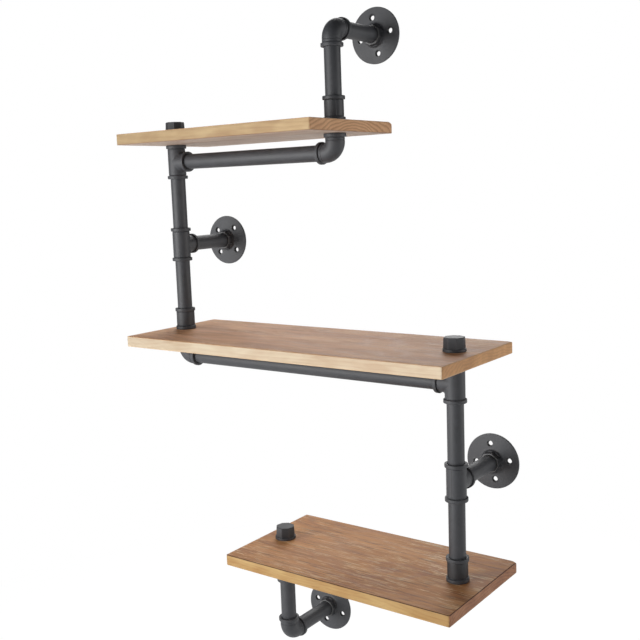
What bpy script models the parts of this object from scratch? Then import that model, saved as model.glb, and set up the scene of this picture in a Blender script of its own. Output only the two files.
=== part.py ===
"""Wall shelf: three pine boards carried by a stepped line of iron pipe.

Metres, +Z up. X runs along the wall to the right, +Y points into the wall and the boards face -Y.
The origin lies on the wall face, on the axis of the top flange.
Every pipe axis lies in one plane parallel to the wall, at the middle of the boards' depth.
"""

import math

import bmesh
import bpy
from mathutils import Matrix, Vector

# Overall layout: what carries the boards and where
WALL_REACH = 0.130
TOP_SPAN = 0.359
MIDDLE_SPAN = 0.570
BOTTOM_SPAN = 0.349
TOP_RISE = 0.1466
UPPER_TIER = 0.360
LOWER_TIER = 0.3692
LEFT_BRANCH_HEIGHT = 0.1591
RIGHT_BRANCH_HEIGHT = 0.1619
BOTTOM_DROP = 0.1807

# Boards
BOARD_THICKNESS = 0.019
BOARD_DEPTH = 0.232
BOARD_EDGE_ROUND = 0.0012
BOARD_HOLE_CLEARANCE = 0.0006
TOP_LEFT_OVERHANG = 0.031
TOP_RIGHT_OVERHANG = 0.037
MIDDLE_LEFT_OVERHANG = 0.037
MIDDLE_RIGHT_OVERHANG = 0.043
BOTTOM_LEFT_OVERHANG = 0.0405
BOTTOM_RIGHT_OVERHANG = 0.048

# Pipe, three quarter inch nominal
PIPE_RADIUS = 0.01345
PIPE_WALL = 0.0026

# Clearances
SEAT_GAP = 0.0003
THREAD_GAP = 0.00015
CUT_OVERRUN = 0.004

# What all the cast fittings share
BODY_WALL = 0.0028
BEAD_RISE = 0.0022
BEAD_LENGTH = 0.0062
BEAD_ROUND = 0.0012
SOCKET_DEPTH = 0.012
BEND_CREASE = 0.0018

# Fillet between the branch and the run of a tee
TEE_FILLET_LENGTH = 0.0050
TEE_FILLET_RISE = 0.0036

# Coupling
COUPLING_LENGTH = 0.0395
COUPLING_RIB_WIDTH = 0.0026
COUPLING_RIB_HEIGHT = 0.0009

# Cap over a pipe end, with eight flats for a wrench
CAP_HEIGHT = 0.0222
CAP_FOOT_LENGTH = 0.0046
CAP_WALL = 0.0028
CAP_TAPER = 0.0009
CAP_CHAMFER = 0.0011
CAP_CROWN_SLOPE = 0.0016
CAP_SOCKET_DEPTH = 0.0125

# Wall flange
FLANGE_RADIUS = 0.0470
FLANGE_RIM_THICKNESS = 0.0032
FLANGE_RIM_ROUND = 0.0010
FLANGE_DISH = 0.0010
FLANGE_HUB_WALL = 0.0048
FLANGE_HUB_FLARE = 0.0058
FLANGE_HUB_HEIGHT = 0.0084
FLANGE_COLLAR_WALL = 0.0021
FLANGE_COLLAR_TAPER = 0.0027
FLANGE_COLLAR_CHAMFER = 0.0006
FLANGE_HEIGHT = 0.0165
FLANGE_END_GAP = 0.0015
SCREW_PITCH_RADIUS = 0.0303
SCREW_HOLE_RADIUS = 0.0036
SCREW_HOLE_FLARE = 0.0015

# What follows from the pipe: sockets, bodies, beads and the length from a fitting's centre to its mouth
SOCKET_RADIUS = PIPE_RADIUS + THREAD_GAP
BODY_RADIUS = SOCKET_RADIUS + BODY_WALL
BEAD_RADIUS = BODY_RADIUS + BEAD_RISE
BEND_RADIUS = BODY_RADIUS + BEND_CREASE
FITTING_REACH = BEND_RADIUS + SOCKET_DEPTH + SEAT_GAP

# Turns of the flanges, caps and couplings about their own axes, in degrees
TOP_FLANGE_TURN = 10
LEFT_FLANGE_TURN = 51
RIGHT_FLANGE_TURN = 8
BOTTOM_FLANGE_TURN = -18
UPPER_CAP_TURN = -5
BOTTOM_CAP_TURN = 15
COUPLING_TURN = -18

# Counts
ROUND_SIDES = 16
FLANGE_SIDES = 32
HOLE_SIDES = 10
WRENCH_FLATS = 8
SCREW_HOLES = 4
BEND_STEPS = 5
EDGE_SEGMENTS = 2

# Points nearer than this become one, and faces within this many degrees of one plane become one face
MERGE = 0.00001
FLAT_WITHIN = 1

LEFT = Vector((-1, 0, 0))
RIGHT = Vector((1, 0, 0))
TO_WALL = Vector((0, 1, 0))
UP = Vector((0, 0, 1))
DOWN = Vector((0, 0, -1))

PAINTED_IRON = (0.105, 0.108, 0.112, 1)
PAINTED_STEEL = (0.120, 0.123, 0.127, 1)
STAINED_PINE = (0.400, 0.235, 0.130, 1)


def clear_scene():
    for obj in list(bpy.data.objects):
        bpy.data.objects.remove(obj, do_unlink=True)


def make_collection(name, hidden=False):
    collection = bpy.data.collections.new(name)
    bpy.context.scene.collection.children.link(collection)
    collection.hide_render = hidden
    return collection


def make_material(name, colour, roughness, metallic):
    material = bpy.data.materials.new(name)
    material.use_nodes = True
    shader = material.node_tree.nodes["Principled BSDF"]
    shader.inputs["Base Color"].default_value = colour
    shader.inputs["Roughness"].default_value = roughness
    shader.inputs["Metallic"].default_value = metallic
    material.diffuse_color = colour
    return material


def iron_material(name):
    return make_material(name + "_iron", PAINTED_IRON, 0.55, 0.35)


def steel_material(name):
    return make_material(name + "_steel", PAINTED_STEEL, 0.5, 0.35)


def pine_material(name):
    return make_material(name + "_pine", STAINED_PINE, 0.6, 0.0)


def add_object(name, mesh, collection):
    obj = bpy.data.objects.new(name, mesh)
    collection.objects.link(obj)
    return obj


def as_cutter(obj):
    """Keeps a helper out of the model."""
    obj.hide_render = True
    obj.display_type = "WIRE"
    return obj


def shade_round(mesh):
    mesh.shade_smooth()
    mesh.set_sharp_from_angle(angle=math.radians(40))


def frame_along(axis, side):
    """Rotation that takes local +Z to axis and local +X to side."""
    third = axis.cross(side)
    return Matrix((side, third, axis)).transposed().to_4x4()


def place(obj, centre, axis=UP, side=RIGHT):
    obj.matrix_world = Matrix.Translation(centre) @ frame_along(axis, side)


def turned_side(axis, degrees):
    """A direction square to the axis, turned about it from the nearest level direction."""
    level = RIGHT if abs(axis.dot(RIGHT)) < 0.5 else UP
    return Matrix.Rotation(math.radians(degrees), 3, axis) @ level


def turned(name, profile, collection, closed, sides=ROUND_SIDES):
    """Turns (radius, height) points about local Z. An open profile runs from pole to pole."""
    mesh = bpy.data.meshes.new(name)
    points = [(radius, 0, height) for radius, height in profile]
    edges = [(i, i + 1) for i in range(len(points) - 1)]
    if closed:
        edges.append((len(points) - 1, 0))
    mesh.from_pydata(points, edges, [])
    obj = add_object(name, mesh, collection)
    screw = obj.modifiers.new("Turn", "SCREW")
    screw.axis = "Z"
    screw.steps = sides
    screw.render_steps = sides
    screw.use_merge_vertices = True
    screw.merge_threshold = MERGE
    screw.use_smooth_shade = True
    if not closed:
        flat_ends = obj.modifiers.new("Flat ends", "DECIMATE")
        flat_ends.decimate_type = "DISSOLVE"
        flat_ends.angle_limit = math.radians(FLAT_WITHIN)
    return obj


def prism(name, sides, low_radius, high_radius, low, high, collection):
    """A cylinder, cone or many-sided bar along local Z, between two heights."""
    bm = bmesh.new()
    bmesh.ops.create_cone(
        bm,
        cap_ends=True,
        segments=sides,
        radius1=low_radius,
        radius2=high_radius,
        depth=high - low,
        matrix=Matrix.Translation((0, 0, (high + low) / 2)),
    )
    mesh = bpy.data.meshes.new(name)
    bm.to_mesh(mesh)
    bm.free()
    return add_object(name, mesh, collection)


def block(name, low, high, collection):
    bm = bmesh.new()
    size = Vector(high) - Vector(low)
    middle = (Vector(high) + Vector(low)) / 2
    bmesh.ops.create_cube(bm, size=1, matrix=Matrix.Translation(middle) @ Matrix.Diagonal(size.to_4d()))
    mesh = bpy.data.meshes.new(name)
    bm.to_mesh(mesh)
    bm.free()
    return add_object(name, mesh, collection)


def mesh_of(obj):
    """The evaluated mesh of an object, with loose caps closed."""
    bpy.context.view_layer.update()
    graph = bpy.context.evaluated_depsgraph_get()
    mesh = bpy.data.meshes.new_from_object(obj.evaluated_get(graph))
    bm = bmesh.new()
    bm.from_mesh(mesh)
    bmesh.ops.remove_doubles(bm, verts=bm.verts, dist=MERGE)
    bmesh.ops.recalc_face_normals(bm, faces=bm.faces)
    bm.to_mesh(mesh)
    bm.free()
    return mesh


def swept(name, path, sides, collection):
    """A tube through (point, radius) pairs, with flat ends."""
    curve = bpy.data.curves.new(name, "CURVE")
    curve.dimensions = "3D"
    curve.bevel_depth = path[0][1]
    curve.bevel_resolution = (sides - 4) // 2
    curve.use_fill_caps = True
    curve.twist_mode = "MINIMUM"
    spline = curve.splines.new("POLY")
    spline.points.add(len(path) - 1)
    for point, (place_on_path, radius) in zip(spline.points, path):
        point.co = (*place_on_path, 1)
        point.radius = radius / path[0][1]
    tube = add_object(name, curve, collection)
    solid = add_object(name, mesh_of(tube), collection)
    solid.matrix_world = tube.matrix_world
    bpy.data.objects.remove(tube, do_unlink=True)
    return solid


def cut(obj, cutter):
    modifier = obj.modifiers.new("Cut", "BOOLEAN")
    modifier.operation = "DIFFERENCE"
    modifier.solver = "EXACT"
    modifier.object = as_cutter(cutter)


def join(obj, other):
    modifier = obj.modifiers.new("Join", "BOOLEAN")
    modifier.operation = "UNION"
    modifier.solver = "EXACT"
    modifier.object = as_cutter(other)


def finished_mesh(obj, name):
    """The shape of a piece that several nodes repeat, as one mesh."""
    mesh = mesh_of(obj)
    mesh.name = name
    shade_round(mesh)
    as_cutter(obj)
    return mesh


def corner_radius(flat_radius, sides):
    """From the axis to a corner of the many-sided outline whose flats lie at flat_radius."""
    return flat_radius / math.cos(math.pi / sides)


def mouth_profile():
    """(radius, distance in from the mouth) from the mouth's face over its rolled bead to the body."""
    return [
        (BEAD_RADIUS - BEAD_ROUND, 0),
        (BEAD_RADIUS, BEAD_ROUND),
        (BEAD_RADIUS, BEAD_LENGTH - BEAD_ROUND),
        (BODY_RADIUS, BEAD_LENGTH + (BEAD_RADIUS - BODY_RADIUS) / 2),
    ]


def bore(name, low, high, axis, side, helpers):
    """Cutter as wide as a socket, along an axis through the fitting's centre."""
    corner = corner_radius(SOCKET_RADIUS, ROUND_SIDES)
    cutter = prism(name, ROUND_SIDES, corner, corner, low, high, helpers)
    place(cutter, Vector(), axis, side)
    return cutter


def elbow_path(reach):
    """Points from +Z round the bend to +X, starting and ending this far from the corner."""
    points = [Vector((0, 0, reach))]
    for step in range(BEND_STEPS + 1):
        angle = math.radians(90) * step / BEND_STEPS
        points.append(Vector((BEND_RADIUS * (1 - math.cos(angle)), 0, BEND_RADIUS * (1 - math.sin(angle)))))
    points.append(Vector((reach, 0, 0)))
    return points


def elbow_mesh(helpers):
    """Quarter bend with a rolled bead at both mouths. Its centre is where the two pipe axes cross."""
    beads = [(Vector((0, 0, FITTING_REACH - inward)), radius) for radius, inward in mouth_profile()]
    bend = [(point, BODY_RADIUS) for point in elbow_path(FITTING_REACH)[1:-1]]
    far = [(Vector((point.z, 0, 0)), radius) for point, radius in reversed(beads)]
    elbow = swept("elbow_shape", beads + bend + far, ROUND_SIDES, helpers)
    corner = corner_radius(SOCKET_RADIUS, ROUND_SIDES)
    way = [(point, corner) for point in elbow_path(FITTING_REACH + CUT_OVERRUN)]
    cut(elbow, swept("elbow_bore", way, ROUND_SIDES, helpers))
    return finished_mesh(elbow, "elbow")


def run_profile(reach):
    """Outer profile of a straight fitting, pole to pole, with a bead at each end."""
    upper = [(radius, reach - inward) for radius, inward in mouth_profile()]
    lower = [(radius, -height) for radius, height in reversed(upper)]
    return [(0, reach)] + upper + lower + [(0, -reach)]


def tee_fillet(helpers):
    """Flattened cone round the root of a branch, proud of it only along the run."""
    root_height = BODY_RADIUS + TEE_FILLET_RISE
    flare = prism("tee_fillet", ROUND_SIDES, root_height, BODY_RADIUS - SEAT_GAP, 0, TEE_FILLET_LENGTH, helpers)
    flattening = (BODY_RADIUS - 2 * SEAT_GAP) / root_height
    flare.data.transform(Matrix.Diagonal((1, flattening, 1, 1)))
    place(flare, RIGHT * (BODY_RADIUS - SEAT_GAP), RIGHT, DOWN)
    return flare


def tee_mesh(helpers):
    """Straight run along Z with a branch along +X. Its centre is where the axes cross."""
    tee = turned("tee_shape", run_profile(FITTING_REACH), helpers, closed=False)
    root = SOCKET_RADIUS / 2
    branch_profile = [(0, FITTING_REACH)]
    branch_profile += [(radius, FITTING_REACH - inward) for radius, inward in mouth_profile()]
    branch_profile += [(BODY_RADIUS - SEAT_GAP, root), (0, root)]
    branch = turned("tee_branch", branch_profile, helpers, closed=False)
    place(branch, Vector(), RIGHT, DOWN)
    join(tee, branch)
    join(tee, tee_fillet(helpers))
    past = FITTING_REACH + CUT_OVERRUN
    cut(tee, bore("tee_run_bore", -past, past, UP, RIGHT, helpers))
    cut(tee, bore("tee_branch_bore", 0, past, RIGHT, DOWN, helpers))
    return finished_mesh(tee, "tee")


def coupling_mesh(helpers):
    """Straight sleeve that stands on a board, with two raised ribs and its centre at its middle."""
    half = COUPLING_LENGTH / 2
    sleeve = turned("coupling_shape", run_profile(half), helpers, closed=False)
    rib_end = half - BEAD_LENGTH / 2
    rib_high = Vector((BODY_RADIUS + COUPLING_RIB_HEIGHT, COUPLING_RIB_WIDTH / 2, rib_end))
    join(sleeve, block("coupling_ribs", -rib_high, rib_high, helpers))
    past = half + CUT_OVERRUN
    cut(sleeve, bore("coupling_bore", -past, past, UP, RIGHT, helpers))
    return finished_mesh(sleeve, "coupling")


def cap_mesh(helpers):
    """Plug with a round foot and eight flats. Its foot lies at height 0."""
    foot_profile = [
        (0, CAP_FOOT_LENGTH),
        (BEAD_RADIUS - BEAD_ROUND, CAP_FOOT_LENGTH),
        (BEAD_RADIUS, CAP_FOOT_LENGTH - BEAD_ROUND),
        (BEAD_RADIUS, 0),
        (0, 0),
    ]
    cap = turned("cap_shape", foot_profile, helpers, closed=False)
    flat = corner_radius(SOCKET_RADIUS + CAP_WALL, WRENCH_FLATS)
    root = CAP_FOOT_LENGTH / 2
    crown_profile = [
        (0, CAP_HEIGHT),
        (flat - CAP_TAPER - CAP_CROWN_SLOPE, CAP_HEIGHT),
        (flat - CAP_TAPER, CAP_HEIGHT - CAP_CHAMFER),
        (flat, root),
        (0, root),
    ]
    join(cap, turned("cap_flats", crown_profile, helpers, closed=False, sides=WRENCH_FLATS))
    cut(cap, bore("cap_socket", -CUT_OVERRUN, CAP_SOCKET_DEPTH, UP, RIGHT, helpers))
    return finished_mesh(cap, "cap")


def flange_mesh(helpers):
    """Round wall plate with a flared hub and four screw holes. Its back lies at height 0.

    The collar on the hub has eight tapered flats, and four of them face the screw holes.
    """
    face = FLANGE_RIM_THICKNESS + FLANGE_DISH
    hub = SOCKET_RADIUS + FLANGE_HUB_WALL
    hub_profile = [
        (0, FLANGE_HUB_HEIGHT),
        (hub - BEAD_ROUND, FLANGE_HUB_HEIGHT),
        (hub, FLANGE_HUB_HEIGHT - BEAD_ROUND),
        (hub + FLANGE_HUB_FLARE / 3, face + FLANGE_DISH / 2),
        (hub + FLANGE_HUB_FLARE, face),
        (FLANGE_RADIUS - FLANGE_RIM_ROUND, FLANGE_RIM_THICKNESS),
        (FLANGE_RADIUS, FLANGE_RIM_THICKNESS - FLANGE_RIM_ROUND),
        (FLANGE_RADIUS, 0),
        (0, 0),
    ]
    flange = turned("flange_shape", hub_profile, helpers, closed=False, sides=FLANGE_SIDES)
    collar_end = corner_radius(SOCKET_RADIUS + FLANGE_COLLAR_WALL, WRENCH_FLATS)
    collar_profile = [
        (0, FLANGE_HEIGHT),
        (collar_end - FLANGE_COLLAR_CHAMFER, FLANGE_HEIGHT),
        (collar_end, FLANGE_HEIGHT - FLANGE_COLLAR_CHAMFER),
        (collar_end + FLANGE_COLLAR_TAPER, face + SEAT_GAP),
        (0, face + SEAT_GAP),
    ]
    collar = turned("flange_collar", collar_profile, helpers, closed=False, sides=WRENCH_FLATS)
    place(collar, Vector(), UP, turned_side(UP, 180 / WRENCH_FLATS))
    join(flange, collar)
    cut(flange, bore("flange_bore", -CUT_OVERRUN, FLANGE_HEIGHT + CUT_OVERRUN, UP, RIGHT, helpers))
    slope = SCREW_HOLE_FLARE / face
    back_radius = SCREW_HOLE_RADIUS - SEAT_GAP * slope
    front_radius = SCREW_HOLE_RADIUS + (face + CUT_OVERRUN) * slope
    for number in range(SCREW_HOLES):
        angle = math.radians(360) * number / SCREW_HOLES
        name = f"flange_hole_{number + 1}"
        hole = prism(name, HOLE_SIDES, back_radius, front_radius, -SEAT_GAP, face + CUT_OVERRUN, helpers)
        hole.location = (SCREW_PITCH_RADIUS * math.cos(angle), SCREW_PITCH_RADIUS * math.sin(angle), 0)
        cut(flange, hole)
    return finished_mesh(flange, "flange")


def add_fitting(name, mesh, centre, axis, side, parts):
    """One cast piece: a copy of the shared mesh with a material of its own."""
    obj = add_object(name, mesh.copy(), parts)
    obj.data.materials.clear()
    obj.data.materials.append(iron_material(name))
    place(obj, centre, axis, side)
    return obj


def add_pipe(name, start, end, parts):
    """Hollow pipe between two points on its axis."""
    axis = (end - start).normalized()
    length = (end - start).length
    inner = PIPE_RADIUS - PIPE_WALL
    profile = [
        (inner, length),
        (PIPE_RADIUS, length),
        (PIPE_RADIUS, 0),
        (inner, 0),
    ]
    obj = turned(name, profile, parts, closed=True)
    obj.data.materials.append(steel_material(name))
    place(obj, start, axis, turned_side(axis, 0))
    return obj


def pipe_between(name, first_mouth, second_mouth, parts, first_depth=SOCKET_DEPTH, second_depth=SOCKET_DEPTH):
    """Pipe screwed into two mouths, each given as a point on the pipe's axis."""
    axis = (second_mouth - first_mouth).normalized()
    start = first_mouth - axis * (first_depth - SEAT_GAP)
    end = second_mouth + axis * (second_depth - SEAT_GAP)
    return add_pipe(name, start, end, parts)


def add_board(name, left, right, top, holes, parts, helpers):
    """Board with eased edges and a round hole at each place in holes, given along X."""
    low = (left, -WALL_REACH - BOARD_DEPTH / 2, top - BOARD_THICKNESS)
    high = (right, -WALL_REACH + BOARD_DEPTH / 2, top)
    board = block(name, low, high, parts)
    ease = board.modifiers.new("Eased edges", "BEVEL")
    ease.width = BOARD_EDGE_ROUND
    ease.segments = EDGE_SEGMENTS
    ease.limit_method = "ANGLE"
    radius = corner_radius(PIPE_RADIUS + BOARD_HOLE_CLEARANCE, ROUND_SIDES)
    for number, x in enumerate(holes):
        past = BOARD_THICKNESS + CUT_OVERRUN
        drill = prism(f"{name}_drill_{number + 1}", ROUND_SIDES, radius, radius, -past, CUT_OVERRUN, helpers)
        drill.location = (x, -WALL_REACH, top)
        cut(board, drill)
    board.data.materials.append(pine_material(name))
    return board


def build():
    clear_scene()
    parts = make_collection("wall_shelf")
    helpers = make_collection("cutters", hidden=True)

    elbow = elbow_mesh(helpers)
    tee = tee_mesh(helpers)
    coupling = coupling_mesh(helpers)
    cap = cap_mesh(helpers)
    flange = flange_mesh(helpers)

    # Where the four columns stand along X
    top_x = 0
    left_x = top_x - TOP_SPAN
    right_x = left_x + MIDDLE_SPAN
    bottom_x = right_x - BOTTOM_SPAN

    # Heights of the board tops, the fittings under the boards and the wall branches
    top_board_z = -TOP_RISE
    middle_board_z = top_board_z - UPPER_TIER
    bottom_board_z = middle_board_z - LOWER_TIER
    left_branch_z = middle_board_z + LEFT_BRANCH_HEIGHT
    right_branch_z = bottom_board_z + RIGHT_BRANCH_HEIGHT
    bottom_elbow_z = bottom_board_z - BOTTOM_DROP
    under = BOARD_THICKNESS + SEAT_GAP + FITTING_REACH

    def on_axis(x, z):
        return Vector((x, -WALL_REACH, z))

    add_board(
        "top_board",
        left_x - TOP_LEFT_OVERHANG,
        top_x + TOP_RIGHT_OVERHANG,
        top_board_z,
        (left_x, top_x),
        parts,
        helpers,
    )
    add_board(
        "middle_board",
        left_x - MIDDLE_LEFT_OVERHANG,
        right_x + MIDDLE_RIGHT_OVERHANG,
        middle_board_z,
        (left_x, right_x),
        parts,
        helpers,
    )
    add_board(
        "bottom_board",
        bottom_x - BOTTOM_LEFT_OVERHANG,
        right_x + BOTTOM_RIGHT_OVERHANG,
        bottom_board_z,
        (bottom_x, right_x),
        parts,
        helpers,
    )

    # Fittings on the pipe plane: centre, direction of local +Z, direction of the side mouth
    fittings = (
        ("top_elbow", elbow, on_axis(top_x, 0), DOWN, TO_WALL),
        ("top_board_elbow", elbow, on_axis(top_x, top_board_z - under), UP, LEFT),
        ("middle_board_elbow", elbow, on_axis(left_x, middle_board_z - under), UP, RIGHT),
        ("bottom_board_elbow", elbow, on_axis(right_x, bottom_board_z - under), UP, LEFT),
        ("bottom_elbow", elbow, on_axis(bottom_x, bottom_elbow_z), UP, TO_WALL),
        ("top_board_tee", tee, on_axis(left_x, top_board_z - under), UP, RIGHT),
        ("left_wall_tee", tee, on_axis(left_x, left_branch_z), UP, TO_WALL),
        ("middle_board_tee", tee, on_axis(right_x, middle_board_z - under), UP, LEFT),
        ("right_wall_tee", tee, on_axis(right_x, right_branch_z), UP, TO_WALL),
        ("bottom_board_tee", tee, on_axis(bottom_x, bottom_board_z - under), UP, RIGHT),
    )
    centres = {}
    for name, mesh, centre, axis, side in fittings:
        add_fitting(name, mesh, centre, axis, side, parts)
        centres[name] = centre

    def mouth(name, direction):
        return centres[name] + direction * FITTING_REACH

    # Couplings and caps that clamp the boards from above
    half = COUPLING_LENGTH / 2
    clamps = (
        ("top_board", top_x, top_board_z, "top_board_elbow", "coupling", COUPLING_TURN),
        ("top_board", left_x, top_board_z, "top_board_tee", "cap", UPPER_CAP_TURN),
        ("middle_board", left_x, middle_board_z, "middle_board_elbow", "coupling", COUPLING_TURN),
        ("middle_board", right_x, middle_board_z, "middle_board_tee", "cap", UPPER_CAP_TURN),
        ("bottom_board", right_x, bottom_board_z, "bottom_board_elbow", "coupling", COUPLING_TURN),
        ("bottom_board", bottom_x, bottom_board_z, "bottom_board_tee", "cap", BOTTOM_CAP_TURN),
    )
    for board, x, board_z, below, kind, turn in clamps:
        seat = on_axis(x, board_z + SEAT_GAP)
        if kind == "coupling":
            add_fitting(board + "_coupling", coupling, seat + UP * half, UP, turned_side(UP, turn), parts)
        else:
            add_fitting(board + "_cap", cap, seat, UP, turned_side(UP, turn), parts)
        depth = SOCKET_DEPTH if kind == "coupling" else CAP_SOCKET_DEPTH
        pipe_between(f"{board}_{kind}_nipple", mouth(below, UP), seat, parts, second_depth=depth)

    def coupling_top(x, board_z):
        return on_axis(x, board_z + SEAT_GAP + COUPLING_LENGTH)

    # Upright pipes, from the top down
    pipe_between("top_upright_pipe", mouth("top_elbow", DOWN), coupling_top(top_x, top_board_z), parts)
    pipe_between("left_upper_pipe", mouth("top_board_tee", DOWN), mouth("left_wall_tee", UP), parts)
    pipe_between("left_lower_pipe", mouth("left_wall_tee", DOWN), coupling_top(left_x, middle_board_z), parts)
    pipe_between("right_upper_pipe", mouth("middle_board_tee", DOWN), mouth("right_wall_tee", UP), parts)
    pipe_between("right_lower_pipe", mouth("right_wall_tee", DOWN), coupling_top(right_x, bottom_board_z), parts)
    pipe_between("bottom_upright_pipe", mouth("bottom_board_tee", DOWN), mouth("bottom_elbow", UP), parts)

    # Level pipes under the boards
    pipe_between("top_level_pipe", mouth("top_board_tee", RIGHT), mouth("top_board_elbow", LEFT), parts)
    pipe_between("middle_level_pipe", mouth("middle_board_elbow", RIGHT), mouth("middle_board_tee", LEFT), parts)
    pipe_between("bottom_level_pipe", mouth("bottom_board_tee", RIGHT), mouth("bottom_board_elbow", LEFT), parts)

    # Wall flanges, each on a nipple from its fitting
    wall_points = (
        ("top", top_x, 0, "top_elbow", TOP_FLANGE_TURN),
        ("left", left_x, left_branch_z, "left_wall_tee", LEFT_FLANGE_TURN),
        ("right", right_x, right_branch_z, "right_wall_tee", RIGHT_FLANGE_TURN),
        ("bottom", bottom_x, bottom_elbow_z, "bottom_elbow", BOTTOM_FLANGE_TURN),
    )
    for name, x, z, carrier, turn in wall_points:
        out_of_wall = -TO_WALL
        side = Matrix.Rotation(math.radians(turn), 3, out_of_wall) @ RIGHT
        add_fitting(name + "_flange", flange, Vector((x, 0, z)), out_of_wall, side, parts)
        flange_mouth = Vector((x, -FLANGE_HEIGHT, z))
        depth = FLANGE_HEIGHT - FLANGE_END_GAP + SEAT_GAP
        pipe_between(name + "_wall_nipple", mouth(carrier, TO_WALL), flange_mouth, parts, second_depth=depth)


build()
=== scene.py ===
import math

import bmesh
import bpy
import numpy as np
from mathutils import Matrix, Vector


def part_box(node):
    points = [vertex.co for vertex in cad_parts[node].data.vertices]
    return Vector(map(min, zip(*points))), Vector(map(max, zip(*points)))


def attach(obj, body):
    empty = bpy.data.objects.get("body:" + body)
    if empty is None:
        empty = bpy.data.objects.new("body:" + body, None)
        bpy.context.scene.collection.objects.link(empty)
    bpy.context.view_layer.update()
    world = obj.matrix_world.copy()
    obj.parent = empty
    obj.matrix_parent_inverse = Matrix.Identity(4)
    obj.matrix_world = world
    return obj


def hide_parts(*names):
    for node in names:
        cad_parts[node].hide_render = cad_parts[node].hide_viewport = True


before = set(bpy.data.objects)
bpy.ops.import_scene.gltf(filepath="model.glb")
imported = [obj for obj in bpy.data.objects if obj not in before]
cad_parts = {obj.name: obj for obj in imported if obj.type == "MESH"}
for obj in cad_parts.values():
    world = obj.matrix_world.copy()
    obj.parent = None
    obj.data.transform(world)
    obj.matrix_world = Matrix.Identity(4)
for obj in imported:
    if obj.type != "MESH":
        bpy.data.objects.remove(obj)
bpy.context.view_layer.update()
print("frame loaded,", len(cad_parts), "nodes")

mm = 0.001
xAxis = np.array([1.0, 0.0, 0.0])
yAxis = np.array([0.0, 1.0, 0.0])
zAxis = np.array([0.0, 0.0, 1.0])
mergeDistance = 2e-6  # metres, points closer than this are joined
sharpAngle = math.radians(42)  # an edge that turns more than this isn't shaded smooth
white = (1, 1, 1, 1)


# Camera, lights and floor

cameraView = {
    "place": (0.8835, -1.3751, -0.2504),
    "azimuth": 36.66,  # degrees, 0 looks straight at the wall
    "lookDown": 8.15,
    "roll": -2.05,
    "lens": 52.28,
    "sensor": 36.0,
    "clip": (0.05, 60.0),
}


def makeCamera(view):
    # Ahead is +Y turned by the azimuth and tipped down, and the roll turns right and up about it
    azimuth, down, roll = (math.radians(view[k]) for k in ("azimuth", "lookDown", "roll"))
    flat = math.cos(down)
    ahead = np.array([-math.sin(azimuth) * flat, math.cos(azimuth) * flat, -math.sin(down)])
    level = np.cross(ahead, zAxis)
    level = level / np.linalg.norm(level)
    above = np.cross(level, ahead)
    right = level * math.cos(roll) + above * math.sin(roll)
    up = above * math.cos(roll) - level * math.sin(roll)
    data = bpy.data.cameras.new("photoCamera")
    data.lens = view["lens"]
    data.sensor_width = view["sensor"]
    data.clip_start, data.clip_end = view["clip"]
    camera = bpy.data.objects.new("photoCamera", data)
    turn = Matrix([list(right), list(up), list(-ahead)]).transposed()
    camera.matrix_world = Matrix.Translation(view["place"]) @ turn.to_4x4()
    bpy.context.scene.collection.objects.link(camera)
    bpy.context.scene.camera = camera


studio = {
    "aim": (-0.07, -0.13, -0.53),
    "lamps": [  # name, place, size in metres, watts
        ("keyLamp", (-1.42, -2.78, -0.40), 2.2, 88),
        ("frontLamp", (0.10, -3.10, -0.50), 2.0, 5),
        ("rimLamp", (2.55, 1.26, -0.11), 1.3, 27),
        ("highLamp", (-1.30, 2.35, 1.36), 2.8, 66),
    ],
    "sky": 0.075,
    "floorLevel": -1.42,
    "floorHalf": 12.0,
    "floorBounce": 0.82,  # grey that throws light back up at the shelf
    "floorShaded": (0.22, 0.86),  # grey and glow near the shelf, where its shadow shows
    "shadowReach": (1.6, 2.1),  # the floor turns from shaded to plain white between these distances
}


def addLamps(room):
    for name, place, size, watts in room["lamps"]:
        lamp = bpy.data.lights.new(name, "AREA")
        lamp.shape = "DISK"
        lamp.size = size
        lamp.energy = watts
        holder = bpy.data.objects.new(name, lamp)
        holder.location = place
        toward = Vector(room["aim"]) - Vector(place)
        holder.rotation_euler = toward.to_track_quat("-Z", "Y").to_euler()
        bpy.context.scene.collection.objects.link(holder)


def connect(tree, node, *links):
    # A link gives one of the node's inputs another node's output or a value
    for socket, source in links:
        if hasattr(source, "links"):
            tree.links.new(source, node.inputs[socket])
        else:
            node.inputs[socket].default_value = source
    return node


def wire(tree, kind, *links, **values):
    # A new node
    node = tree.nodes.new("ShaderNode" + kind)
    for name, value in values.items():
        setattr(node, name, value)
    return connect(tree, node, *links)


def calc(tree, operation, *values, **more):
    return wire(tree, "Math", *enumerate(values), operation=operation, **more).outputs[0]


def blend(tree, factor, a, b, kind="MIX"):
    return wire(tree, "Mix", ("Factor", factor), (6, a), (7, b), data_type="RGBA", blend_type=kind).outputs[2]


def spread(tree, value, span, result=(0.0, 1.0)):
    # The value moved evenly from the span to the result's two ends, and kept between them
    return wire(tree, "MapRange", *enumerate((value, *span, *result))).outputs[0]


def noise(tree, place, scale, detail, roughness):
    return wire(tree, "TexNoise", ("Vector", place), ("Scale", scale), ("Detail", detail),
                ("Roughness", roughness)).outputs["Fac"]


def relief(tree, strength, depth, height, below=None):
    # A bump, on top of the one below
    links = [] if below is None else [("Normal", below)]
    return wire(tree, "Bump", ("Strength", strength), ("Distance", depth), ("Height", height),
                *links).outputs["Normal"]


def attribute(tree, name):
    return wire(tree, "Attribute", attribute_name=name).outputs["Fac"]


def total(tree, *terms):
    # Sum of value times amount, kept between 0 and 1
    result = 0.0
    for value, amount in terms:
        result = calc(tree, "MULTIPLY_ADD", value, amount, result, use_clamp=True)
    return result


def newMaterial(name):
    material = bpy.data.materials.new(name)
    material.use_nodes = True
    tree = material.node_tree
    return material, tree, tree.nodes["Principled BSDF"], wire(tree, "TexCoord").outputs["Object"]


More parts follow.
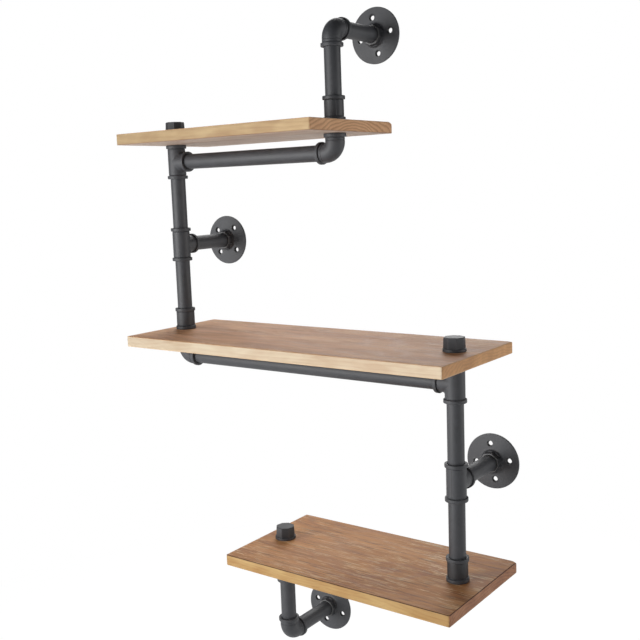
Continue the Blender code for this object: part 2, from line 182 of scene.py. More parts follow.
def mixShader(tree, factor, a, b):
    return wire(tree, "MixShader", (0, factor), (1, a), (2, b)).outputs[0]


def paleRays(tree):
    # 1 on what the camera, a mirror or a glass sees straight, else 0
    path = wire(tree, "LightPath").outputs
    shine = calc(tree, "MAXIMUM", path["Is Camera Ray"], path["Is Glossy Ray"])
    return calc(tree, "MAXIMUM", shine, path["Is Transmission Ray"])


def makeSky(room):
    world = bpy.data.worlds.new("studioSky")
    bpy.context.scene.world = world
    world.use_nodes = True
    tree = world.node_tree
    tree.nodes.clear()
    dim, bright = (wire(tree, "Background", ("Color", white), ("Strength", strength)).outputs[0]
                   for strength in (room["sky"], 1.0))
    sky = mixShader(tree, wire(tree, "LightPath").outputs["Is Camera Ray"], dim, bright)
    wire(tree, "OutputWorld", ("Surface", sky))


def makeFloor(room):
    # A square that the camera and mirrors see as white with a faint shadow, and other rays as grey
    half, level = room["floorHalf"], room["floorLevel"]
    mesh = bpy.data.meshes.new("floor")
    mesh.from_pydata([(-half, -half, level), (half, -half, level), (half, half, level), (-half, half, level)],
                     [], [(0, 1, 2, 3)])
    floor = bpy.data.objects.new("floor", mesh)
    bpy.context.scene.collection.objects.link(floor)
    material, tree, shader, place = newMaterial("paleFloor")
    tree.nodes.remove(shader)
    shaded, glow = room["floorShaded"]
    plain, soft = (wire(tree, "BsdfDiffuse", ("Color", (grey, grey, grey, 1))).outputs[0]
                   for grey in (room["floorBounce"], shaded))
    glow, bright = (wire(tree, "Emission", ("Color", white), ("Strength", strength)).outputs[0]
                    for strength in (glow, 1.0))
    near = wire(tree, "AddShader", (0, soft), (1, glow)).outputs[0]
    far = wire(tree, "VectorMath", (0, place), operation="LENGTH").outputs["Value"]
    seen = mixShader(tree, spread(tree, far, room["shadowReach"]), near, bright)
    surface = mixShader(tree, paleRays(tree), plain, seen)
    connect(tree, tree.nodes["Material Output"], ("Surface", surface))
    mesh.materials.append(material)


makeCamera(cameraView)
addLamps(studio)
makeSky(studio)
makeFloor(studio)
bpy.context.scene.view_settings.view_transform = "Standard"
print("camera, lamps and floor made")


# Surfaces as grids of points

def easedLine(corners, steps=5):
    # Polyline through (a, b, ease) corners. Each corner is a quadratic curve that starts and ends
    # ease before and after it: (1-t)^2 A + 2t(1-t) corner + t^2 C
    points = [np.array(corners[0][:2])]
    t = np.linspace(0, 1, steps)[:, None]
    for before, here, after in zip(corners, corners[1:], corners[2:]):
        middle = np.array(here[:2])
        back, on = np.array(before[:2]) - middle, np.array(after[:2]) - middle
        easeBack = min(here[2], 0.5 * np.linalg.norm(back))
        easeOn = min(here[2], 0.5 * np.linalg.norm(on))
        start = middle + back / np.linalg.norm(back) * easeBack
        end = middle + on / np.linalg.norm(on) * easeOn
        points.extend((1 - t) ** 2 * start + 2 * t * (1 - t) * middle + t ** 2 * end)
    points.append(np.array(corners[-1][:2]))
    return np.array(points)


def roundGrid(radii, heights, angles):
    # Point (row, column) = (r cos a, r sin a, h); radii is one value a row, or one a row and column
    radii = np.asarray(radii, float)
    if radii.ndim == 1:
        radii = radii[:, None] * np.ones(len(angles))
    heights = np.asarray(heights, float)[:, None] * np.ones(len(angles))
    return np.stack([radii * np.cos(angles), radii * np.sin(angles), heights], axis=-1)


def wholeTurn(columns):
    return np.linspace(0, 2 * math.pi, columns, endpoint=False)


def cornerColumns():
    # Angles that stand close together at eight corners, half way between the multiples of 45 degrees
    offsets = np.array([-20.4, -16.5, -12, -7, -2.3, 2.3, 7, 12, 16.5, 20.4, 21.4, 22, 22.5, 23, 23.6])
    return np.radians((np.arange(8)[:, None] * 45 + offsets).ravel())


def eightSided(angles, sharpness):
    # Distance from the axis to an outline with eight flats at distance 1:
    # (sum of |cos(a - k 45)|^p)^(-1/p), so its corners are rounder when p is small
    turns = np.arange(4)[:, None] * math.pi / 4
    return (np.abs(np.cos(angles[None, :] - turns)) ** sharpness).sum(0) ** (-1 / sharpness)


def gridFaces(rows, columns, first, wrapRows, wrapColumns):
    # A face between each two neighbouring rows and columns, also over the seam where they wrap
    down = np.arange(rows if wrapRows else rows - 1)
    along = np.arange(columns if wrapColumns else columns - 1)
    i, j = np.meshgrid(down, along, indexing="ij")
    nextRow, nextColumn = (i + 1) % rows, (j + 1) % columns
    quads = np.stack([i * columns + j, i * columns + nextColumn, nextRow * columns + nextColumn,
                      nextRow * columns + j], axis=-1)
    return quads.reshape(-1, 4) + first


def meshFromGrids(grids):
    # grids holds (points, rows wrap, columns wrap); points that meet are merged into one closed surface
    points, faces, first = [], [], 0
    for grid, wrapRows, wrapColumns in grids:
        rows, columns = grid.shape[:2]
        points.append(grid.reshape(-1, 3))
        faces.append(gridFaces(rows, columns, first, wrapRows, wrapColumns))
        first += rows * columns
    points, faces = np.concatenate(points), np.concatenate(faces)
    mesh = bpy.data.meshes.new("surface")
    mesh.vertices.add(len(points))
    mesh.vertices.foreach_set("co", points.astype(np.float32).ravel())
    mesh.loops.add(faces.size)
    mesh.loops.foreach_set("vertex_index", faces.astype(np.int32).ravel())
    mesh.polygons.add(len(faces))
    mesh.polygons.foreach_set("loop_start", np.arange(0, faces.size, 4, dtype=np.int32))
    mesh.update(calc_edges=True)
    mesh.validate()
    bm = bmesh.new()
    bm.from_mesh(mesh)
    bmesh.ops.remove_doubles(bm, verts=bm.verts, dist=mergeDistance)
    bmesh.ops.dissolve_degenerate(bm, edges=bm.edges, dist=mergeDistance / 4)
    bmesh.ops.recalc_face_normals(bm, faces=bm.faces)
    bm.to_mesh(mesh)
    bm.free()
    mesh.shade_smooth()
    mesh.set_sharp_from_angle(angle=sharpAngle)
    return mesh


def moved(grids, centre, axis, side):
    # Local +Z goes to axis and local +X to side
    axis, side = np.asarray(axis, float), np.asarray(side, float)
    turn = np.stack([side, np.cross(axis, side), axis])
    return [(grid @ turn + np.asarray(centre), *wraps) for grid, *wraps in grids]


def addPiece(node, ending, mesh, material):
    # The finished piece that stands for the node
    piece = bpy.data.objects.new(node + ending, mesh)
    mesh.name = piece.name
    mesh.materials.append(material)
    bpy.context.scene.collection.objects.link(piece)
    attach(piece, "root")
    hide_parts(node)


def nodeBox(node):
    low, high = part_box(node)
    return np.array(low), np.array(high)


def pointsOf(mesh, about=(0, 0, 0)):
    points = np.zeros(len(mesh.vertices) * 3, np.float32)
    mesh.vertices.foreach_get("co", points)
    return points.reshape(-1, 3) - about


def setShare(mesh, name, share):
    mesh.attributes.new(name, "FLOAT", "POINT").data.foreach_set("value", share.astype(np.float32))


# Powder coat on the fittings and pipes

coat = {
    "dark": (0.037, 0.039, 0.044, 1),
    "light": (0.056, 0.058, 0.065, 1),
    # worn: tone of worn edges, also used as a painted highlight on edges and as painted light on the flange
    # collar's end
    "worn": (0.150, 0.150, 0.153, 1),
    # near black tone of painted shade in crevices, screw holes and tee seams, and of the darker coupling
    # bodies
    "crevice": (0.010, 0.010, 0.011, 1),
    "clouds": (38.0, 6.0, 0.62),  # scale per metre, detail and roughness of the noise
    "cloudSpan": (0.32, 0.70),  # the coat goes from dark to light between these values of the noise
    "roughSpan": (0.3, 0.7),  # and its roughness between these
    "roughness": (0.49, 0.60),
    "edges": ((0.53, 0.62), 0.75),  # span of pointiness over which an edge turns light, partly wear and partly a painted highlight, and how much at most
    "crevices": ((0.49, 0.42), 0.8),  # the same for the painted shade in crevices
    "specular": 0.52,
    "fittingPits": (420.0, 0.12 * mm),  # scale per metre and depth
    "fittingGrain": (1900.0, 0.06 * mm),
    "pipePits": (260.0, 0.03 * mm),
    "pipeGrain": (2400.0, 0.04 * mm),
    "reliefNoise": (3.0, 0.55),  # detail and roughness
    "relief": 0.8,
}


def coatMaterial(name, pits, grain):
    # A cloudy base, lighter on edges (wear and a painted highlight) and where one attribute is high (painted
    # light on the collar's end); darker in crevices as painted shade and where a second attribute is high
    # (painted shade in screw holes and tee seams, a darker coupling body)
    material, tree, shader, place = newMaterial(name)
    cloud = noise(tree, place, *coat["clouds"])
    paint = blend(tree, spread(tree, cloud, coat["cloudSpan"]), coat["dark"], coat["light"])
    edge = wire(tree, "NewGeometry").outputs["Pointiness"]
    for kind, mark, tone in (("edges", "rubbed", "worn"), ("crevices", "hollow", "crevice")):
        span, most = coat[kind]
        share = calc(tree, "MAXIMUM", spread(tree, edge, span, (0.0, most)), attribute(tree, mark))
        paint = blend(tree, share, paint, coat[tone])
    rough = spread(tree, cloud, coat["roughSpan"], coat["roughness"])
    normal = None
    for scale, depth in (pits, grain):
        normal = relief(tree, coat["relief"], depth, noise(tree, place, scale, *coat["reliefNoise"]), normal)
    connect(tree, shader, ("Base Color", paint), ("Roughness", rough), ("Normal", normal),
            ("Specular IOR Level", coat["specular"]))
    return material


fittingCoat = coatMaterial("castFittingCoat", coat["fittingPits"], coat["fittingGrain"])
pipeCoat = coatMaterial("pipeCoat", coat["pipePits"], coat["pipeGrain"])
print("powder coat mixed")


def addCast(node, mesh):
    addPiece(node, "_cast", mesh, fittingCoat)


# Sizes that all fittings share

fitting = {
    "pipe": 13.45 * mm,  # radii
    "socket": 13.72 * mm,
    "body": 16.0 * mm,
    "bead": 18.4 * mm,
    "mouth": 18.6 * mm,  # of the solid model's mouths
    "chamfer": 0.5 * mm,  # at the opening of the socket
    "beadLength": 6.2 * mm,
    "beadSlope": 0.4 * mm,
    "beadEase": (0.7 * mm, 1.2 * mm),  # rounding of the bead away from the mouth and at the mouth
    "undercut": 0.5 * mm,  # depth of the line cut beside each bead, and its deepest point's distance
    "undercutWidth": 1.3 * mm,
    "grooveAt": 11.2 * mm,  # from the mouth to a fine groove round an elbow
    "grooveDepth": 0.6 * mm,
    "grooveHalf": 0.5 * mm,
    "grooveEase": 0.15 * mm,
    "lipEase": 0.3 * mm,  # rounding between the mouth's end and its chamfer
    "ease": 0.2 * mm,  # rounding of the other small corners
    "columns": 96,
}


def mouthLine(size, groove=True):
    # (distance in from the mouth, radius) from the body over the groove and bead into the socket
    body, bead, socket, chamfer, ease = (size[k] for k in ("body", "bead", "socket", "chamfer", "ease"))
    groovePlace, grooveHalf, beadEnd = size["grooveAt"], size["grooveHalf"], size["beadLength"]
    grooveFloor = body - size["grooveDepth"] if groove else body
    start = groovePlace + grooveHalf + ease
    return easedLine([
        (start, body, 0),
        (groovePlace + grooveHalf, body, ease / 2),
        (groovePlace, grooveFloor, size["grooveEase"]),
        (groovePlace - grooveHalf, body, ease / 2),
        (beadEnd + size["undercutWidth"], body, ease),
        (beadEnd + size["undercut"], body - size["undercut"], ease),
        (beadEnd, body, ease),
        (beadEnd - size["beadSlope"], bead, size["beadEase"][0]),
        (0, bead, size["beadEase"][1]),
        (0, socket + chamfer, size["lipEase"]),
        (chamfer, socket, ease),
        (start, socket, 0),
    ])


def towards(node, direction):
    # Centre of a fitting: along each axis the far side without a mouth lies one mouth's radius away
    low, high = nodeBox(node)
    direction = np.asarray(direction)
    centre = (low + high) / 2
    centre = np.where(direction > 0, low + fitting["mouth"], centre)
    return np.where(direction < 0, high - fitting["mouth"], centre)


# Elbows

elbow = {
    "mouths": {  # node: direction of the first mouth, direction of the second
        "top_elbow": (-zAxis, yAxis),
        "top_board_elbow": (zAxis, -xAxis),
        "middle_board_elbow": (zAxis, xAxis),
        "bottom_board_elbow": (zAxis, -xAxis),
        "bottom_elbow": (zAxis, yAxis),
    },
    "bendRadius": 18.2 * mm,
    "bendRows": 26,
}


def elbowGrids(size, reach):
    # A ring of radius r about each point of the path: down the axis, round a quarter circle, out along +X.
    # Reach is the distance from the centre, where the two axes meet, to each mouth
    line = mouthLine(size)
    bend = elbow["bendRadius"]
    turn = np.linspace(0, math.pi / 2, elbow["bendRows"])
    straight = reach - line[:, 0]
    ringsIn = np.stack([np.zeros(len(line)), straight, line[:, 1]], axis=1)
    arcX, arcZ = bend * (1 - np.cos(turn)), bend * (1 - np.sin(turn))
    body = np.stack([arcX, arcZ, np.full(len(turn), size["body"])], axis=1)
    bore = np.stack([arcX, arcZ, np.full(len(turn), size["socket"])], axis=1)
    ringsOut = np.stack([straight, np.zeros(len(line)), line[:, 1]], axis=1)
    rings = np.concatenate([ringsIn[::-1], body, ringsOut, bore[::-1]])
    tilt = np.concatenate([np.zeros(len(line)), turn, np.full(len(line), math.pi / 2), turn[::-1]])
    angles = wholeTurn(size["columns"])
    inward = np.stack([np.cos(tilt), np.zeros(len(tilt)), np.sin(tilt)], axis=1)
    points = np.stack([rings[:, 0], np.zeros(len(rings)), rings[:, 1]], axis=1)[:, None, :]
    points = points + rings[:, 2][:, None, None] * (np.cos(angles)[None, :, None] * inward[:, None, :]
                                                    + np.sin(angles)[None, :, None] * yAxis)
    return [(points, True, True)]


def addElbows():
    for node, (axis, side) in elbow["mouths"].items():
        low, high = nodeBox(node)
        grids = elbowGrids(fitting, (high - low)[2] - fitting["mouth"])
        mesh = meshFromGrids(moved(grids, towards(node, axis + side), axis, side))
        addCast(node, mesh)


addElbows()
print("elbows made")


# Tees

tee = {
    "branches": {  # node: direction of the branch
        "top_board_tee": xAxis,
        "left_wall_tee": yAxis,
        "middle_board_tee": -xAxis,
        "right_wall_tee": yAxis,
        "bottom_board_tee": xAxis,
    },
    "fillet": 4.0 * mm,
    "boreFillet": 1.0 * mm,
    "slimmer": 0.12 * mm,  # the branch is this much slimmer than the run
    "grid": (72, 28),  # columns round the run and rows along it
    "rows": (13, 9, 4),  # to the fillet, round it and out along the branch
    "nearEdge": [0, 0.010, 0.024],  # shares of the way to the fillet at which the first rows lie
    "seamHalf": 0.9 * mm,  # half width of the casting seam
    "seamDepth": 1.0 * mm,  # it lies on points that are this near the back of the body
    "seamGap": 0.9 * mm,  # from a bead to the seam's end
    "seams": {"right_wall_tee": 0.85, "left_wall_tee": 0.30},  # how dark the painted shade along the seam's groove is
    "otherSeams": 0.35,
}


def rectangleWalk(halfWide, halfHigh, across, upright):
    # Points round a rectangle, evenly spaced on each side, from its top left corner clockwise
    a = np.linspace(-halfWide, halfWide, across, endpoint=False)
    b = np.linspace(halfHigh, -halfHigh, upright, endpoint=False)
    u = np.concatenate([a, np.full(upright, halfWide), -a, np.full(upright, -halfWide)])
    v = np.concatenate([np.full(across, halfHigh), b, np.full(across, -halfHigh), -b])
    return u, v


def branchField(run, branch, fillet, halfHigh, branchEnd, across, upright):
    # The run unrolled round the branch. A ball of radius fillet rolls in the corner: its centre is at
    # (sqrt((run + fillet)^2 - y^2), y, z) with y, z on a circle of radius branch + fillet. Rows go from the
    # edge of the unrolled run to where the ball touches it, round the ball, and out along the branch
    u, v = rectangleWalk(math.pi * run, halfHigh, across, upright)
    turn = np.arctan2(u / (math.pi * run), v / halfHigh)
    y, z = (branch + fillet) * np.sin(turn), (branch + fillet) * np.cos(turn)
    x = np.sqrt((run + fillet) ** 2 - y ** 2)
    ball = np.stack([x, y, z], axis=-1)
    onRun = np.stack([x * run / (run + fillet), y * run / (run + fillet), z], axis=-1)
    onBranch = np.stack([x, branch * np.sin(turn), branch * np.cos(turn)], axis=-1)
    inwardRows, cornerRows, outRows = tee["rows"]
    share = np.concatenate([tee["nearEdge"], np.linspace(0, 1, inwardRows)[1:-1]])[:, None]
    edgeU = run * np.arctan2(y, x)
    fieldU, fieldV = u + (edgeU - u) * share, v + (z - v) * share
    field = np.stack([run * np.cos(fieldU / run), run * np.sin(fieldU / run), fieldV], axis=-1)
    first, last = (onRun - ball) / fillet, (onBranch - ball) / fillet
    sweep = np.arccos(np.clip((first * last).sum(-1), -1, 1))[:, None]
    s = np.linspace(0, 1, cornerRows)[:, None, None]
    corner = ball + fillet * (np.sin((1 - s) * sweep) * first + np.sin(s * sweep) * last) / np.sin(sweep)
    s = np.linspace(0, 1, outRows)[1:, None]
    out = np.stack([x + (branchEnd - x) * s, onBranch[:, 1] + 0 * s, onBranch[:, 2] + 0 * s], axis=-1)
    return np.concatenate([field, corner, out]), turn


def teeGrids(size, reach):
    # The body and the bore as two such fields, and three mouths, turned about the run and the branch
    line = mouthLine(size, groove=False)
    slim, level = tee["slimmer"], reach - line[0, 0]
    sheets = []
    for radius, fillet in ((size["body"], tee["fillet"]), (size["socket"], tee["boreFillet"])):
        sheet, turn = branchField(radius, radius - slim, fillet, level, level, *tee["grid"])
        sheets.append((sheet, False, True))
    angles = np.linspace(-math.pi, math.pi, tee["grid"][0] + 1)
    top = roundGrid(line[:, 1], reach - line[:, 0], angles)
    bottom = top * np.array([1, 1, -1])
    radii = line[:, 1:] - slim
    branch = np.stack([np.broadcast_to((reach - line[:, 0])[:, None], (len(line), len(turn))),
                       radii * np.sin(turn), radii * np.cos(turn)], axis=-1)
    return [*sheets, (top, False, False), (bottom, False, False), (branch, False, True)]


def paintSeamShade(mesh, centre, side, reach, darkness):
    # Painted shade along the casting seam's groove, down the body opposite the branch: darkness (1 - distance
    # from it / half width)
    points = pointsOf(mesh, centre)
    share = np.clip(1 - np.abs(points @ np.cross(zAxis, side)) / tee["seamHalf"], 0, 1)
    behind = points @ side < tee["seamDepth"] - fitting["body"]
    between = np.abs(points[:, 2]) < reach - fitting["beadLength"] - tee["seamGap"]
    setShare(mesh, "hollow", darkness * share * behind * between)


def addTees():
    for node, side in tee["branches"].items():
        low, high = nodeBox(node)
        reach = (high - low)[2] / 2
        centre = towards(node, side)
        mesh = meshFromGrids(moved(teeGrids(fitting, reach), centre, zAxis, side))
        paintSeamShade(mesh, centre, side, reach, tee["seams"].get(node, tee["otherSeams"]))
        addCast(node, mesh)


addTees()
print("tees made")


# Couplings

coupling = {
    "ribs": {  # node: degrees from +X to the first casting rib, how dark the body is
        "top_board_coupling": (-35.0, 0.10),
        "middle_board_coupling": (45.0, 0.05),
        "bottom_board_coupling": (45.0, 0.55),
    },
    "ribWidth": 4.2 * mm,
    "ribEdge": 0.5 * mm,
    "ribHeight": 0.8 * mm,
    "ribStart": (1.2 * mm, 2.0 * mm),  # the rib rises where the wall is this much wider than the socket
    "underBead": 0.3 * mm,  # and ends this far inside the bead's radius
    "shadeGap": 0.4 * mm,  # from a bead to the darkened body
    "column": 3.75,  # degrees between columns away from the ribs
}


def couplingGrids(size, length, turn):
    # A sleeve whose radius rises by the rib's height where the arc from the rib's middle is under half its
    # width, with the eased step s^2 (3 - 2s) at its edges
    line = mouthLine(size, groove=False)
    half = length / 2
    rows = np.linspace(0, 1, 8)[1:-1]
    level = half - line[0, 0]
    radii = np.concatenate([line[::-1, 1], np.full(len(rows), size["body"]), line[:, 1]])
    heights = np.concatenate([half - line[::-1, 0], level - 2 * level * rows, line[:, 0] - half])
    ribHalf, ease = coupling["ribWidth"] / 2, coupling["ribEdge"]
    edge = np.degrees((ribHalf + ease * np.linspace(-1, 1.6, 9)) / size["body"])
    angles = np.concatenate([np.arange(0, 180, coupling["column"]), edge, 180 - edge])
    angles = np.unique(np.round(np.concatenate([angles, angles + 180]), 3))
    arc = size["body"] * np.radians(np.abs(np.mod(angles + 90, 180) - 90))
    rise = np.clip((ribHalf + ease - arc) / ease, 0, 1)
    rib = coupling["ribHeight"] * rise * rise * (3 - 2 * rise)
    start, whole = coupling["ribStart"]
    outside = np.clip((radii - size["socket"] - start) / (whole - start), 0, 1)
    wall = np.minimum(radii[:, None] + rib * outside[:, None], size["bead"] - coupling["underBead"])
    turned = np.radians(angles + turn)
    return [(roundGrid(np.maximum(radii[:, None], wall), heights, turned), True, True)]


def addCouplings():
    for node, (turn, darkness) in coupling["ribs"].items():
        low, high = nodeBox(node)
        centre, length = (low + high) / 2, (high - low)[2]
        mesh = meshFromGrids(moved(couplingGrids(fitting, length, turn), centre, zAxis, xAxis))
        between = length / 2 - fitting["beadLength"] - coupling["shadeGap"]
        setShare(mesh, "hollow", darkness * (np.abs(pointsOf(mesh, centre)[:, 2]) < between))
        addCast(node, mesh)


addCouplings()
print("couplings made")


# Caps

cap = {
    "turns": {"top_board_cap": -5.0, "middle_board_cap": -5.0, "bottom_board_cap": 15.0},
    "footLength": 4.6 * mm,
    "flats": 16.4 * mm,  # from the axis to a flat
    "taper": 0.8 * mm,
    "chamfer": (1.0 * mm, 0.7 * mm),
    "footEase": (0.6 * mm, 1.0 * mm),  # rounding of the foot below and above
    "sideEase": 0.25 * mm,
    "topEdge": 1.5 * mm,  # from the chamfer to the next ring on the top
    "topRings": (0.6, 0.3, 0),  # shares of that ring's size
    "socketDepth": 12.5 * mm,
    "socketEase": 0.5 * mm,
    "sharpness": 260.0,
}


def capGrids(size, height):
    # Rows from the socket's end over the round foot, up the eight flats and over the chamfer to the middle of
    # the top. On the foot the radius is the larger of the foot's own and the flats'
    angles = cornerColumns()
    flats = eightSided(angles, cap["sharpness"])
    angles = angles + math.pi / 8  # a corner, not a flat, faces local +X
    wide, high = cap["chamfer"]
    foot, (lowEase, ease), sideEase = cap["footLength"], cap["footEase"], cap["sideEase"]
    radius, depth, chamfer = size["socket"], cap["socketDepth"], size["chamfer"]
    socket = easedLine([(0, depth, 0), (radius, depth, cap["socketEase"]), (radius, chamfer, size["ease"]),
                        (radius + chamfer, 0, size["lipEase"]), (size["bead"], 0, lowEase),
                        (size["bead"], foot - ease, 0)])
    shoulder = np.linspace(0, math.pi / 2, 7)[1:]
    rounded = size["bead"] - ease * (1 - np.cos(shoulder))
    edge = cap["taper"] + wide
    side = easedLine([(0, foot + 0.1 * mm, 0), (cap["taper"], height - high, sideEase),
                      (edge, height, sideEase), (edge + cap["topEdge"], height, 0)])
    walls = np.concatenate([np.maximum(rounded[:, None], cap["flats"] * flats),
                            (cap["flats"] - side[:, :1]) * flats])
    levels = np.concatenate([foot - ease + ease * np.sin(shoulder), side[:, 1]])
    middle = walls[-1] * np.array(cap["topRings"])[:, None]
    return [(np.concatenate([roundGrid(socket[:, 0], socket[:, 1], angles), roundGrid(walls, levels, angles),
                             roundGrid(middle, [height] * len(middle), angles)]), False, True)]


def addCaps():
    for node, turn in cap["turns"].items():
        low, high = nodeBox(node)
        seat = (low + high) / 2 * (1 - zAxis) + low * zAxis
        side = np.array([math.cos(math.radians(turn)), math.sin(math.radians(turn)), 0])
        mesh = meshFromGrids(moved(capGrids(fitting, (high - low)[2]), seat, zAxis, side))
        addCast(node, mesh)


addCaps()
print("caps made")


# Wall flanges

flange = {
    "turns": {"top_flange": 10.0, "left_flange": 51.0, "right_flange": 8.0, "bottom_flange": -18.0},
    "radius": 47.0 * mm,
    "rim": 3.2 * mm,
    "dish": 1.0 * mm,
    "hub": 18.4 * mm,
    "hubFoot": 24.2 * mm,
    "hubHeight": 8.4 * mm,
    "collar": 15.7 * mm,  # from the axis to a flat at the collar's end
    "collarTaper": 2.5 * mm,
    "holeCircle": 30.3 * mm,
    "hole": (5.1 * mm, 3.6 * mm),  # radius at the front and at the back
    "holeEase": (0.3 * mm, 0.2 * mm),
    "holeEdge": (0.5 * mm, 0.4 * mm),  # width of the ring of plate round it, front and back
    "rimWidth": 1.2 * mm,
    "rimEase": (0.8 * mm, 0.4 * mm),
    "flareCorner": (1.2 * mm, 0.5 * mm),  # outside the hub and above the plate
    "flareEase": 2.2 * mm,
    "hubEase": 1.0 * mm,
    "hubTop": (1.0 * mm, 0.4 * mm),  # how far inside the collar's flats and how much higher it ends
    "collarFoot": 0.3 * mm,  # from there up to the collar's first row
    "collarRows": 6,
    "crown": 0.5 * mm,  # height of the easing at the collar's end
    "crownEase": 0.4 * mm,
    "crownShare": 0.8,  # the last ring of the end goes this share of its way in
    "rimEdge": 0.5 * mm,  # from the bore to the last ring on the collar's end
    "boreChamfer": 0.4 * mm,
    "sharpness": 260.0,
    "grid": (32, 14),  # columns round a sector and rows across it
    "hollow": 0.9,  # how dark the painted shade in the screw holes is
    "hollowReach": (0.1 * mm, 0.5 * mm),  # outside a hole's edge, where the painted shade starts to fade and is gone
    "rubbed": 0.8,  # how much painted light lightens the collar's end
    "rubbedReach": (0.6 * mm, 0.3 * mm),  # its depth, and its distance from the bore
}


def flangeFace(radius):
    # Height of the front face: a shallow cone that rises to the hub
    share = np.clip((flange["radius"] - radius) / (flange["radius"] - flange["hubFoot"]), 0, 1)
    return flange["rim"] + flange["dish"] * share


def flangeGrids(size, height):
    # Four sectors, each a sheet of lines from its screw hole out to the sector's edge, worked out in
    # (angle, radius), then rings for the rim outside them and for the hub, collar and bore inside them
    across, upright = flange["grid"]
    inside, outside = flange["hubFoot"], flange["radius"] - flange["rimWidth"]
    middle, halfHigh = (inside + outside) / 2, (outside - inside) / 2
    u, v = rectangleWalk(math.pi / 4, halfHigh, across, upright)
    edgeRadius = v + middle
    away = np.arctan2(u * flange["holeCircle"], edgeRadius - flange["holeCircle"])
    (front, back), (frontEase, backEase) = flange["hole"], flange["holeEase"]
    face = float(flangeFace(flange["holeCircle"]))
    frontEdge, backEdge = flange["holeEdge"]
    wall = easedLine([(front + frontEdge, face, 0), (front, face, frontEase), (back, 0, backEase),
                      (back + backEdge, 0, 0)])

    def ringAt(radius):
        # The circle of this radius about the hole, as distances and angles from the flange's axis
        x, y = flange["holeCircle"] + radius * np.cos(away), radius * np.sin(away)
        return np.hypot(x, y), np.arctan2(y, x)

    share = np.linspace(0, 1, 10)[:, None]
    sheets = []
    for radius in (wall[0, 0], wall[-1, 0]):
        holeRadius, holeAngle = ringAt(radius)
        sheets.append((edgeRadius + (holeRadius - edgeRadius) * share, u + (holeAngle - u) * share))
    drill = [ringAt(radius) for radius in wall[1:-1, 0]]
    radius = np.concatenate([sheets[0][0], [ring[0] for ring in drill], sheets[1][0][::-1]])
    angle = np.concatenate([sheets[0][1], [ring[1] for ring in drill], sheets[1][1][::-1]])
    level = np.concatenate([flangeFace(sheets[0][0]), wall[1:-1, 1:] * np.ones(len(away)), 0 * sheets[1][0]])
    quarters = np.arange(4) * math.pi / 2
    grids = [(np.stack([radius * np.cos(angle + turn), radius * np.sin(angle + turn), level], axis=-1),
              False, True) for turn in quarters]
    angles = np.linspace(-math.pi / 4, 2 * math.pi - math.pi / 4, 4 * across, endpoint=False)
    frontEase, backEase = flange["rimEase"]
    rim = easedLine([(outside, flangeFace(outside), 0), (flange["radius"], flange["rim"], frontEase),
                     (flange["radius"], 0, backEase), (outside, 0, 0)])
    grids.append((roundGrid(rim[:, 0], rim[:, 1], angles), False, True))
    foot, (outwards, above), (inwards, rise) = flangeFace(inside), flange["flareCorner"], flange["hubTop"]
    flare = easedLine([(inside, foot, 0), (flange["hub"] + outwards, foot + above, flange["flareEase"]),
                       (flange["hub"], flange["hubHeight"], flange["hubEase"]),
                       (flange["collar"] - inwards, flange["hubHeight"] + rise, 0)])
    end, rows = height - flange["crown"], flange["collarRows"]
    levels = np.concatenate([flare[:, 1], np.linspace(flare[-1, 1] + flange["collarFoot"], end, rows)])
    hub = np.concatenate([flare[:, 0], np.zeros(rows)])[:, None]
    flats = eightSided(angles, flange["sharpness"])
    taper = flange["collar"] + flange["collarTaper"] * (end - levels) / (end - foot)
    walls = np.maximum(hub, taper[:, None] * flats)
    radius, chamfer, ease = size["socket"], flange["boreChamfer"], size["ease"]
    crown = easedLine([(0, end, 0), (0, height, flange["crownEase"]),
                       (flange["collar"] - radius - flange["rimEdge"], height, 0)])[1:]
    share = np.linspace(1, flange["crownShare"], len(crown))[:, None]
    top = flange["collar"] * flats - crown[:, :1] * share
    bore = easedLine([(radius + chamfer, height, 0), (radius, end, ease), (radius, chamfer, ease),
                      (radius + chamfer, 0, ease / 2), (inside, 0, 0)])
    grids.append((np.concatenate([roundGrid(walls, levels, angles), roundGrid(top, crown[:, 1], angles),
                                  roundGrid(bore[:, 0], bore[:, 1], angles)]), False, True))
    return grids


def paintFlangeShadeAndLight(mesh, centre, turn, height):
    # The walls of the screw holes get painted shade, by distance from each hole's axis, and the collar's end
    # gets painted light
    points = pointsOf(mesh, centre)
    angles = turn + np.arange(4)[:, None] * math.pi / 2
    away = np.hypot(points[:, 0] - flange["holeCircle"] * np.cos(angles),
                    points[:, 2] - flange["holeCircle"] * np.sin(angles)).min(0)
    near, far = flange["hollowReach"]
    share = np.clip((flange["hole"][0] + far - away) / (far - near), 0, 1)
    setShare(mesh, "hollow", flange["hollow"] * share)
    depth, gap = flange["rubbedReach"]
    onEnd = points[:, 1] < depth - height
    outOfBore = np.hypot(points[:, 0], points[:, 2]) > fitting["socket"] + gap
    setShare(mesh, "rubbed", flange["rubbed"] * (onEnd & outOfBore))


def addFlanges():
    for node, turn in flange["turns"].items():
        low, high = nodeBox(node)
        centre, height = (low + high) / 2 * (1 - yAxis), (high - low)[1]
        angle = math.radians(turn)
        side = np.array([math.cos(angle), 0, math.sin(angle)])
        mesh = meshFromGrids(moved(flangeGrids(fitting, height), centre, -yAxis, side))
        paintFlangeShadeAndLight(mesh, centre, angle, height)
        addCast(node, mesh)


addFlanges()
print("flanges made")


# Pipes

pipe = {
    "wall": 2.6 * mm,
    "chamfer": 0.5 * mm,
    "ease": 0.1 * mm,
    "columns": 96,
}


